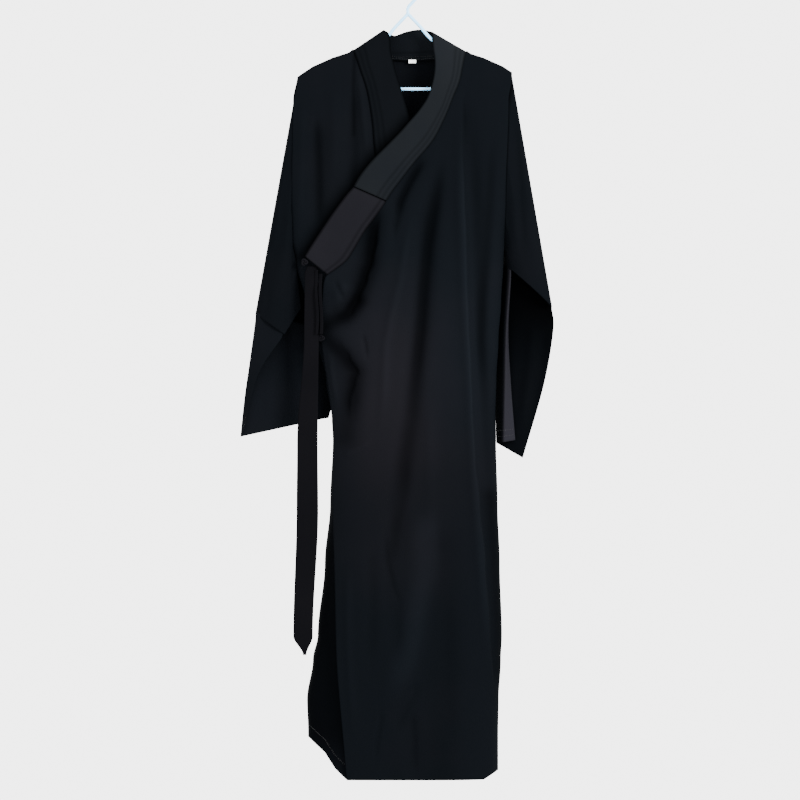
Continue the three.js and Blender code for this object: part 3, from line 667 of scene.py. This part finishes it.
# Collar
# Painted light and shade: right and top lighten the right part towards its top, left darkens the left part,
# the crossing values paint the overlap collar's shadow on it, and the edge and end row values paint shade on
# the lit rims
collar = {"columns": 15, "split": 12, "splitGap": 0.6, "lift": 1.1, "over": 1.2, "crown": 0.9,
          "overRun": (-150, 96), "underRun": (-151, -388, 84), "endRun": (-550, 60), "neckSteps": 64,
          "turnRight": 44.4, "turnLeft": -45, "turnIn": 14, "turnSlope": 0.6, "smoothing": 6,
          "right": 0.9, "top": 0.17, "topDown": (-240, -130), "topAcross": (20, 60), "left": 0.48,
          "turn": (0.42, 0.6), "crossShadow": 0.72, "crossShadowReach": 15, "seams": 0.76, "edges": 0.3,
          "end": 1.06, "endSeam": 0.7, "endRowShade": 0.35, "warmth": 0.5}


# Straight from seam to free edge, on the surface below less lift and crown * sin(180 degrees * t).
def stripPoints(seamXZ, freeXZ, surface):
    width = np.linalg.norm(freeXZ - seamXZ, axis=1, keepdims=True)
    seamXZ = seamXZ + (seamXZ - freeXZ) / width * collar["over"]
    t = np.linspace(0, 1, collar["columns"])[None, :, None]
    flat = seamXZ[:, None] * (1 - t) + freeXZ[:, None] * t
    x, z = flat[..., 0], flat[..., 1]
    crown = collar["crown"] * np.sin(math.pi * t[..., 0])
    return stack(x, surface(x, z) - collar["lift"] - crown, z)


# Seam and free edge as curves through their rows, both read by the seam's height.
def collarRun(seam, free, heights, surface):
    freeX = readCurve([[z, fx] for (z, _), (fx, _) in zip(seam, free)], heights)
    freeZ = readCurve([[z, fz] for (z, _), (_, fz) in zip(seam, free)], heights)
    seamX = readCurve(seam, heights)
    return stripPoints(np.stack([seamX, heights], 1), np.stack([freeX, freeZ], 1), surface)


# Strips over the shoulder: the free edge sinks by 0.6 of the seam's drop and moves inward.
def shoulderTurn(seam, freeX, surface, inward=0.0):
    drops = np.array([1.0, 1.8, 2.8, 4.0, 5.6, 7.6, 10])
    heights = seam[0][0] - drops
    free = np.stack([freeX + inward * ease(drops, 0, 10),
                     readStraight(collarTop, freeX / neck["freeHalf"]) - collar["turnSlope"] * drops], 1)
    return stripPoints(np.stack([readCurve(seam, heights), heights], 1), free, surface)


# Half ovals for the seam and the free edge, from the right shoulder round to the left.
def neckRun(steps):
    angle = np.linspace(0, math.pi, steps)[:, None]
    c, s = np.cos(angle), np.sin(angle)
    t = np.linspace(0, 1, collar["columns"])[None, :]
    seamX = neck["middle"] + neck["half"] * c
    seamZ = necklineZ(c) - neck["under"] * (1 - c**4) + neck["endLift"] * c**4
    freeX, freeZ = neck["freeHalf"] * c, readCurve(collarTop, c)
    y = (neck["depth"] * s - neck["seamIn"]) * (1 - t) + neck["freeDepth"] * s * t
    y = y + neck["crown"] * s * np.sin(math.pi * t)
    return stack(seamX * (1 - t) + freeX * t, y, seamZ * (1 - t) + freeZ * t)


def makeCollar():
    splitZ = overlapSeam[collar["split"]][0]
    over = np.linspace(splitZ + collar["splitGap"], *collar["overRun"])
    end = np.linspace(collar["endRun"][0], splitZ - collar["splitGap"], collar["endRun"][1])
    band = np.concatenate([
        collarRun(overlapSeam, overlapCollar, over, overlapY),
        shoulderTurn(overlapSeam, collar["turnRight"], overlapY)[::-1],
        neckRun(collar["neckSteps"]),
        shoulderTurn(underlapSeam, collar["turnLeft"], underlapY, collar["turnIn"]),
        collarRun(underlapSeam, underlapCollar, np.linspace(*collar["underRun"]), underlapY)])
    grids["collar"] = smoothRows(band, collar["smoothing"])
    grids["collarEnd"] = collarRun(overlapSeam, overlapCollar, end, overlapY)
    x, z = placesOf(grids["collar"])
    # Painted light and shade: the right part lighter towards its top and, by its warmth, warmer; the left
    # part darker, with the overlap collar's painted shadow; painted shade on the rims
    right = ease(z, *collar["topDown"]) * ease(x, *collar["topAcross"])
    right = collar["right"] + collar["top"] * right
    turned = ease(np.arange(len(band))[:, None] / len(band), *collar["turn"])
    paintedCrossShadow = 1 - collar["crossShadow"] * nearPath(x, z, overlapCollar[5:], collar["crossShadowReach"])
    shade = (right * (1 - turned) + collar["left"] * turned) * (paintedCrossShadow * turned + 1 - turned)
    shade[:, [2, 4]] *= collar["seams"]
    shade[:, [0, -1]] *= collar["edges"]
    shadeEnd = np.full(grids["collarEnd"].shape[:2], collar["end"])
    shadeEnd[:, 2] *= collar["endSeam"]
    shadeEnd[[0, -1]] *= collar["endRowShade"]
    shadeEnd[:, [0, -1]] *= collar["edges"]
    clothSheet("collarBandCloth", grids["collar"], cloth["collarWall"],
               "collar_band", "collar_cloth", shade=shade, warmth=collar["warmth"] * (1 - turned))
    clothSheet("collarEndCloth", grids["collarEnd"], cloth["collarWall"],
               "collar_end", "tie_cloth", shade=shadeEnd)
    print("collar made")


# Sleeves
# The seam, tuck and inner values paint shade: where the sleeve tucks behind the body's edge at the armhole,
# on the tucked cloth, and inside the sleeve ends; the cloth value makes the sleeves 0.72 as light
sleeve = {"halfDepth": 20, "power": 0.6, "columns": 120, "rows": 90, "seamZ": -178, "tuckIn": 1.5,
          "turnBy": 0.7, "edgePower": 0.8, "backShare": -0.8, "foldsDown": (190, 300),
          "hiddenTo": 0.05, "hiddenLift": 7, "hiddenIn": 0.12, "smoothing": 3,
          "cloth": 0.72, "seam": 0.25, "seamShadeDown": (0.005, 0.09), "tucked": 0.85,
          "tuckShadeDown": (0.1, 0.5), "inner": (-0.02, 0.05), "innerDown": (0.05, 0.75)}
leftSleeve = {
    "side": -1, "marks": [0, 8 / 24, 11.4 / 24, 12.6 / 24, 14 / 24, 1],
    "low": [[-283, -623], [-229, -660], [-199, -612], [-203, -604], [-176, -650], [-283, -623]],
    "tuck": [0, 0, 0, 22, 14, 0]}
rightSleeve = {
    "side": 1, "marks": [0, 6 / 24, 11 / 24, 12.4 / 24, 14 / 24, 1],
    "low": [[267, -608], [226, -570], [192, -540], [166, -540], [176, -544], [267, -608]],
    "tuck": [0, 0, 0, 20, 12, 0]}
# The tone values are the front's painted light and the inside's painted shade at its top and bottom; warm
# makes the front warmer and lighter as painted light
leftEnd = {
    "columns": 110, "lines": 70, "paintedTone": (0.85, 0.62, 0.95), "warm": 0, "marks": [0, 0.28, 0.92, 1],
    "y": [[-18.5, -10, 18, 28], [-18, -8, 18, 30], [-17, -6, 18, 30], [-12, -3, 14, 28]],
    "rows": [[[-229, -660], [-283, -623], [-196, -647], [-172, -650]],
             [[-270, -719], [-294, -708], [-180, -706], [-146, -706]],
             [[-288, -766], [-303, -772], [-163, -765], [-136, -765]],
             [[-304, -838], [-311, -850], [-160, -817], [-148, -815]]]}
rightEnd = {
    "columns": 110, "lines": 90, "paintedTone": (2.15, 0.1, 0.5), "warm": 0.8, "marks": [0, 0.14, 0.3, 1],
    "y": [[-2, -8, 18, 10], [-1, -11, 20, 4], [0, -11, 20, 0], [0, -8, 15, -2]],
    "rows": [[[192, -541], [191, -539.5], [164, -541], [267, -608]],
             [[186, -652], [183, -648], [160, -648], [270, -652]],
             [[191, -754], [180, -752], [160, -752], [252, -754]],
             [[199, -856], [177, -860], [164, -861], [213, -889]]]}
sleeveFolds = {
    -1: [(5, 12, [[-226, -300], [-236, -430], [-250, -560]]),
         (-4, 10, [[-214, -430], [-214, -500], [-206, -560]]),
         (3, 8, [[-250, -480], [-262, -600], [-270, -640]]),
         (4, 12, [[-240, -700], [-226, -760], [-222, -830]]),
         (-3, 10, [[-190, -690], [-190, -760], [-186, -816]]),
         (2.5, 8, [[-262, -760], [-268, -800], [-272, -840]])],
    1: [(4, 9, [[198, -250], [206, -380], [214, -520]]),
        (-3, 8, [[214, -300], [228, -430], [240, -550]]),
        (3, 7, [[228, -420], [246, -520], [256, -590]]),
        (4, 10, [[232, -620], [226, -720], [206, -840]]),
        (-4, 10, [[256, -640], [244, -740], [222, -850]]),
        (2.5, 7, [[196, -600], [192, -700], [190, -840]])]}


# Flattened ring: minus half depth times the sine to the power 0.6, front negative.
def ringY(s):
    sine = np.sin(2 * math.pi * s)
    return -np.sign(sine) * sleeve["halfDepth"] * np.abs(sine) ** sleeve["power"]


# Straight lines from the armhole ring to the lower ring, with folds on front and back.
def upperSleeve(upper):
    side = upper["side"]
    s = np.arange(sleeve["columns"]) / sleeve["columns"]
    share = (1 - np.cos(2 * math.pi * s)) / 2
    drop, sideX = (underarmLeft, leftSide) if side < 0 else (underarmRight, rightSide)
    topZ = ridgeZ(sideX(sleeve["seamZ"])) - drop * share
    half = cloth["seamHalf"] + readStraight(armholeRows, share)
    topY = -np.sign(np.round(np.sin(2 * math.pi * s), 9)) * half
    top = stack(sideX(topZ) - side * sleeve["tuckIn"] * (1 - share), topY, topZ)
    lowX, lowZ = [np.interp(s, upper["marks"], values) for values in zip(*upper["low"])]
    bottomY = ringY(s) + np.interp(s, upper["marks"], upper["tuck"])
    v = np.linspace(0, 1, sleeve["rows"])[:, None]
    points = top[None] * (1 - v[..., None]) + stack(lowX, bottomY, lowZ)[None] * v[..., None]
    turn = ease(v, 0, sleeve["turnBy"])
    points[..., 1] = topY[None] * (1 - turn) + bottomY[None] * turn
    # Painted shade on the tucked cloth and where the sleeve meets the armhole
    tucked = np.interp(s, upper["marks"], np.array(upper["tuck"]) > 0)[None]
    tucked = tucked * ease(v, *sleeve["tuckShadeDown"])
    seam = sleeve["seam"] + (1 - sleeve["seam"]) * ease(v, *sleeve["seamShadeDown"])
    return creased(points, side, s[None]), sleeve["cloth"] * seam * (1 - sleeve["tucked"] * tucked)


# Adds (folds + ripple) * |sine|^0.8 to the depth, and 0.8 of that the other way round at the back.
def creased(points, side, s):
    x, z = placesOf(points)
    flat = np.abs(np.sin(2 * math.pi * s)) ** sleeve["edgePower"]
    size, seed = waves["sleeve"]
    relief = foldSum(sleeveFolds[side], x, z) + ripple(x, z, size, seed + side)
    front = np.where(np.sin(2 * math.pi * s) >= 0, 1.0, sleeve["backShare"])
    points[..., 1] += relief * flat * front * ease(-z, *sleeve["foldsDown"])
    return points


# Open sheet over four corner lines down the sleeve, tucked a little inside the sleeve above it.
def sleeveEnd(end, side):
    v = np.linspace(0, 1, end["lines"])
    t = np.linspace(0, 1, end["columns"])
    steps = np.linspace(0, 1, len(end["rows"]))
    lines, depths = np.array(end["rows"], float), np.array(end["y"], float)
    corners = np.stack([np.stack([readCurve(list(zip(steps, values)), v) for values in
                                  (lines[:, k, 0], depths[:, k], lines[:, k, 1])], -1) for k in range(4)])
    cut = np.searchsorted(end["marks"], t, side="right").clip(1, 3) - 1
    marks = np.array(end["marks"])
    u = ((t - marks[cut]) / (marks[cut + 1] - marks[cut])).clip(0, 1)[:, None, None]
    points = np.swapaxes(corners[cut] * (1 - u) + corners[cut + 1] * u, 0, 1).copy()
    hidden = 1 - ease(v, 0, sleeve["hiddenTo"])[:, None]
    points[..., 2] += sleeve["hiddenLift"] * hidden
    points[..., 1] *= 1 - sleeve["hiddenIn"] * hidden
    smoothRows(points.swapaxes(0, 1), sleeve["smoothing"])
    return creased(points, side, np.broadcast_to(0.25 + 0.5 * t[None], points.shape[:2]))


# Painted light and shade on an open sleeve end: its front at one value, and the cloth seen inside in painted
# shade, darker towards the sleeve above.
def paintedEndLightAndShade(end, front, deep, low):
    t = np.linspace(0, 1, end["columns"])[None]
    v = np.linspace(0, 1, end["lines"])[:, None]
    inner = ease(t, *[end["marks"][1] + step for step in sleeve["inner"]])
    return front * (1 - inner) + inner * (deep + (low - deep) * ease(v, *sleeve["innerDown"]))


def makeSleeves():
    for name, node, upper in (("leftSleeveCloth", "sleeve_left_upper", leftSleeve),
                              ("rightSleeveCloth", "sleeve_right_upper", rightSleeve)):
        points, shade = upperSleeve(upper)
        clothSheet(name, points, cloth["wall"], node, "robe_cloth", ring=True, shade=shade)
    for name, node, grid, end, side in (("leftSleeveEndCloth", "sleeve_left_end", "leftEnd", leftEnd, -1),
                                        ("rightSleeveEndCloth", "sleeve_right_end", "rightEnd", rightEnd, 1)):
        grids[grid] = sleeveEnd(end, side)
        # Painted light on each end's front, painted shade inside it, and a warmer, lighter front on the right
        clothSheet(name, grids[grid], cloth["wall"], node, "robe_cloth",
                   shade=paintedEndLightAndShade(end, *end["paintedTone"]),
                   warmth=paintedTone["warmth"] + end["warm"] * paintedEndLightAndShade(end, 1, 0, 0))
    print("sleeves made")


# Ties and knots
tie = {"hang": -37, "shade": 0.46, "run": (-534, -1218, 220), "pointRun": (-1220, -1253, 14),
       "pointX": (-194, -188), "columns": 13, "behind": 3, "sway": (2, 90), "twist": (1.2, 37),
       "leaves": (531, 575), "rows": [
           [-534, -187, -169], [-548, -191, -166], [-660, -192, -165], [-863, -205, -167],
           [-985, -206, -166], [-1218, -212, -176]]}
# Name, node, left edge, width and top of each strand
strands = [("leftStrandCloth", "tie_strand_left", -171, 5, -540.6),
           ("rightStrandCloth", "tie_strand_right", -164, 6, -548.4)]
strand = {"low": -660, "rows": 70, "columns": 7, "sway": (1.5, 19), "leaves": (545, 590), "lyingX": -160,
          "infront": 7, "cup": 0.8}


# Depths run from the front's cloth to the hanging line, with a slow sway in depth or sideways.
def makeTies():
    z = np.concatenate([np.linspace(*tie["run"]), np.linspace(*tie["pointRun"])])[:, None]
    point = ease(-z, -tie["run"][1], -tie["pointRun"][1])
    left, right = [readCurve(tie["rows"], z, k + 1) * (1 - point) + tie["pointX"][k] * point for k in (0, 1)]
    t = np.linspace(0, 1, tie["columns"])[None, :]
    x = left * (1 - t) + right * t
    (sway, swayLength), (twist, twistLength) = tie["sway"], tie["twist"]
    hanging = tie["hang"] + sway * np.sin(z / swayLength) + twist * np.sin(z / twistLength + 1) * (t - 0.5)
    share = ease(-z, *tie["leaves"])
    grids["tie"] = stack(x, (overlapY(x, z) + tie["behind"]) * (1 - share) + hanging * share, z)
    clothSheet("wideTieCloth", grids["tie"], cloth["tieWall"], "tie_wide", "tie_cloth",
               shade=tie["shade"])
    t = np.linspace(0, 1, strand["columns"])[None, :]
    for name, node, left, width, top in strands:
        z = np.linspace(top, strand["low"], strand["rows"])[:, None]
        x = left + width * t + strand["sway"][0] * np.sin((z - top) / strand["sway"][1])
        share = ease(-z, *strand["leaves"])
        lying = overlapY(strand["lyingX"] + 0 * z, z) * (1 - share)
        lying = lying + (tie["hang"] - strand["infront"]) * share
        clothSheet(name, stack(x, lying + strand["cup"] * np.cos(math.pi * t), z), cloth["tieWall"],
                   node, "tie_cloth", shade=tie["shade"])
    print("ties made")


tape = {"steps": 160, "sides": 16, "width": 0.95, "height": 0.62, "depth": 0.75, "reach": 3.9, "shade": 0.7}
# Name, node, middle x and z, the place whose cloth it lies on, how far before it, and half size
knots = [("cornerKnot", "tie_knot_corner", -191.5, -526.5, (-190.0, -526.0), 3, 7),
         ("sideKnot", "tie_knot_side", -160, -667, (-160.0, -668.0), 5.4, 6.5)]


# A closed pretzel of tape: a trefoil path with an oval section carried round it.
def makeKnots():
    path = np.linspace(0, 2 * math.pi, tape["steps"], endpoint=False)[:, None]
    ring = np.linspace(0, 2 * math.pi, tape["sides"], endpoint=False)[None, :, None]
    radius = 2 + np.cos(3 * path)
    line = np.concatenate([radius * np.cos(2 * path), tape["depth"] * np.sin(3 * path),
                           radius * np.sin(2 * path)], 1)
    tangent = unit(np.roll(line, -1, 0) - np.roll(line, 1, 0))
    side = unit(np.cross(tangent, [0, 1, 0]))
    up = np.cross(side, tangent)
    points = (line[:, None] + tape["width"] * np.cos(ring) * side[:, None]
              + tape["height"] * np.sin(ring) * up[:, None])
    for name, node, x, z, on, before, size in knots:
        center = np.array((x, float(overlapY(*on)) - before, z))
        item = meshObject(name, (points * (size / tape["reach"]) + center).reshape(-1, 3),
                          tubeFaces(tape["steps"], tape["sides"], True), tieCloth)
        item.data.uv_layers.new(name="clothMap")
        setShade(item.data, tape["shade"])
        dress(item, node)
    print("knots made")


# Sewing: rows of short stitches standing just off the cloth
stitch = {"pitch": 3.6, "length": 2.5, "thick": 0.35, "lift": 0.12}
diamond = np.array([[0, 4, 2], [0, 3, 4], [0, 5, 3], [0, 2, 5], [1, 2, 4], [1, 4, 3], [1, 3, 5], [1, 5, 2]])
# Name, slot, wall and lines of each set: the grid, along a row or a column, its numbers, its start
seams = [
    ("bodyHemStitches", "robe_cloth", "wall", [
        ("overlap", "row", [-6], 0), ("overlap", "column", [3], 100), ("underlap", "row", [-5], 0),
        ("back", "row", [-5], 0)]),
    ("collarStitches", "collar_cloth", "collarWall", [
        ("collar", "column", [1, 2], 0), ("collar", "column", [4, 6, 8], 170),
        ("collarEnd", "column", [1, 2], 0)]),
    ("tieStitches", "tie_cloth", "tieWall", [("tie", "column", [1, 11], 0)]),
    ("sleeveStitches", "robe_cloth", "wall", [
        ("leftEnd", "row", [-5, -9], 0), ("rightEnd", "row", [-4, -7], 0)])]


# Each stitch is a long eight-sided diamond lying along its line.
def stitchRows(name, lines):
    vertices, faces = [], []
    for line, normal in lines:
        walked = walkedTo(line)
        at = np.arange(stitch["pitch"], walked[-1] - stitch["pitch"], stitch["pitch"])
        center = readPath(at, walked, line)
        ahead = unit(readPath(at + 1, walked, line) - center)
        out = unit(readPath(at, walked, normal))
        side = np.cross(ahead, out)
        half, thick = stitch["length"] / 2, stitch["thick"]
        corners = np.stack([center - half * ahead, center + half * ahead, center + thick * side,
                            center - thick * side, center + thick * out, center - thick * out], 1)
        base = (6 * np.arange(len(at)))[:, None, None] + 6 * sum(len(v) for v in vertices)
        vertices.append(corners)
        faces.append((base + diamond[None]).reshape(-1, 3))
    item = meshObject(name, np.concatenate(vertices).reshape(-1, 3), np.concatenate(faces), threadBlack,
                      smooth=False)
    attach(item, "root")


# A line of the grid, moved off the cloth by half its wall and a little more.
def lineOnGrid(points, wall, along, number, start):
    normal = gridNormals(points)
    place = number if along == "row" else (slice(start, None), number)
    return points[place] + (wall / 2 + stitch["lift"]) * normal[place], normal[place]


def makeSewing():
    for name, slot, wall, lines in seams:
        stitchRows(name, [lineOnGrid(grids[grid], cloth[wall], along, number, start)
                          for grid, along, numbers, start in lines for number in numbers])
    print("sewing made")


label = {"left": 1, "right": 15, "top": -148.4, "low": -154.6, "columns": 20, "rows": 14, "before": 3.2,
         "lean": 6.5, "leanFrom": (-161, -153)}


# A small blank label before the inside of the back, leaning forward towards its top.
def makeLabel():
    x = np.linspace(label["left"], label["right"], label["columns"])[None, :]
    z = np.linspace(label["top"], label["low"], label["rows"])[:, None]
    y = backY(x, z) - label["before"] - label["lean"] * ease(z, *label["leanFrom"])
    clothSheet("neckLabelCloth", stack(x, y, z), cloth["labelWall"], "neck_label", "label_cloth")
    print("label made")


# Hanger
hanger = {"radius": 3.0, "sides": 20, "barX": 60, "steps": 420, "hookRadius": 23, "hookZ": -20,
          "hookTurn": (-25, 200, 16), "hookSteps": 150, "neck": [[0, -54], [9, -43]], "tipFrom": 145,
          "tipLength": 4.2, "baseShare": 0.05}


# A circle carried along a path in the hanger's plane; open ends close on a point.
def tube(path, radius, sides, closed):
    tangent = np.roll(path, -1, 0) - np.roll(path, 1, 0)
    if not closed:
        tangent[0], tangent[-1] = path[1] - path[0], path[-1] - path[-2]
    side = np.cross(unit(tangent), [0, 1, 0])
    angle = np.linspace(0, 2 * math.pi, sides, endpoint=False)[None, :, None]
    r = np.broadcast_to(np.asarray(radius, float), (len(path),))[:, None, None]
    points = path[:, None] + r * (np.cos(angle) * side[:, None] + np.sin(angle) * np.array([0, 1, 0]))
    return points.reshape(-1, 3), tubeFaces(len(path), sides, closed)


# Points spaced evenly along a cubic through the corners, read by chord length.
def smoothPath(points, count):
    points = np.array(points, float)
    walked = walkedTo(points)
    at = np.linspace(0, walked[-1], count)
    x, z = [readCurve(list(zip(walked, values)), at) for values in points.T]
    return np.stack([x, 0 * x, z], 1)


def makeHanger():
    radius, sides, steps = hanger["radius"], hanger["sides"], hanger["hookSteps"]
    half = arm[1:] + armEnd + [[hanger["barX"], armEnd[-1][1]]]
    top = [[0, arm[0][1] + 1]]
    loop = top + half + [[-x, z] for x, z in reversed(half)] + top
    angle = np.radians(np.linspace(*hanger["hookTurn"]))
    turn = np.stack([np.cos(angle), np.sin(angle)], 1) * hanger["hookRadius"] + [0, hanger["hookZ"]]
    hookPath = smoothPath([[0, arm[0][1] - 1]] + hanger["neck"] + turn.tolist(), steps)
    rounding = ((np.arange(steps) - hanger["tipFrom"]) / hanger["tipLength"]).clip(0, 0.999)
    tip = np.sqrt(np.maximum(1 - rounding**2, 0.002))
    tip[0] = hanger["baseShare"]
    for name, path, share, closed in (("hangerFrame", smoothPath(loop, hanger["steps"])[:-1], 1, True),
                                      ("hangerHook", hookPath, tip, False)):
        item = meshObject(name, *tube(path, radius * share, sides, closed), hangerBlue)
        dress(item, "hanger")
    print("hanger made")


# Pale studio, the same from every side: white all round, a small round floor and three soft lights
studio = {"floorZ": -1.62, "floorRadius": 1.15, "floorSides": 72, "floorTone": 0.86, "surround": 4.6,
          "aim": (0, 0, -0.8), "lights": [
              ("keyLight", (2.9, -3.3, 0.7), (1.5, 1.8), 600),
              ("fillLight", (-2.4, -4.2, 0.6), (2.4, 2.4), 30),
              ("backLight", (-2.6, 3.6, 0.8), (2.0, 2.0), 420)]}


def makeStudio():
    sides = studio["floorSides"]
    angle = np.linspace(0, 2 * math.pi, sides, endpoint=False)
    rim = np.stack([np.cos(angle), np.sin(angle), 0 * angle], 1) * studio["floorRadius"]
    points = np.concatenate([rim, np.zeros((1, 3))]) + [0, 0, studio["floorZ"]]
    side = np.arange(sides)
    faces = np.stack([side, (side + 1) % sides, np.full(sides, sides)], 1)
    material = plainFinish("paleFloor", [studio["floorTone"]] * 3, 0.9, 30)
    meshObject("studioFloor", points / mm, faces, material)
    world = bpy.data.worlds.new("softWorld")
    bpy.context.scene.world = world
    world.use_nodes = True
    background = world.node_tree.nodes["Background"]
    background.inputs["Color"].default_value = (1, 1, 1, 1)
    background.inputs["Strength"].default_value = studio["surround"]
    for name, place, size, power in studio["lights"]:
        data = bpy.data.lights.new(name, "AREA")
        data.shape = "RECTANGLE"
        data.size, data.size_y = size
        data.energy = power
        item = bpy.data.objects.new(name, data)
        item.location = place
        x, y, z = np.array(studio["aim"]) - place
        item.rotation_euler = (math.atan2(math.hypot(x, y), -z), 0, math.atan2(-x, y))
        bpy.context.scene.collection.objects.link(item)
    print("studio made")


makeBody()
makeCollar()
makeSleeves()
makeTies()
makeKnots()
makeSewing()
makeLabel()
makeHanger()
makeStudio()
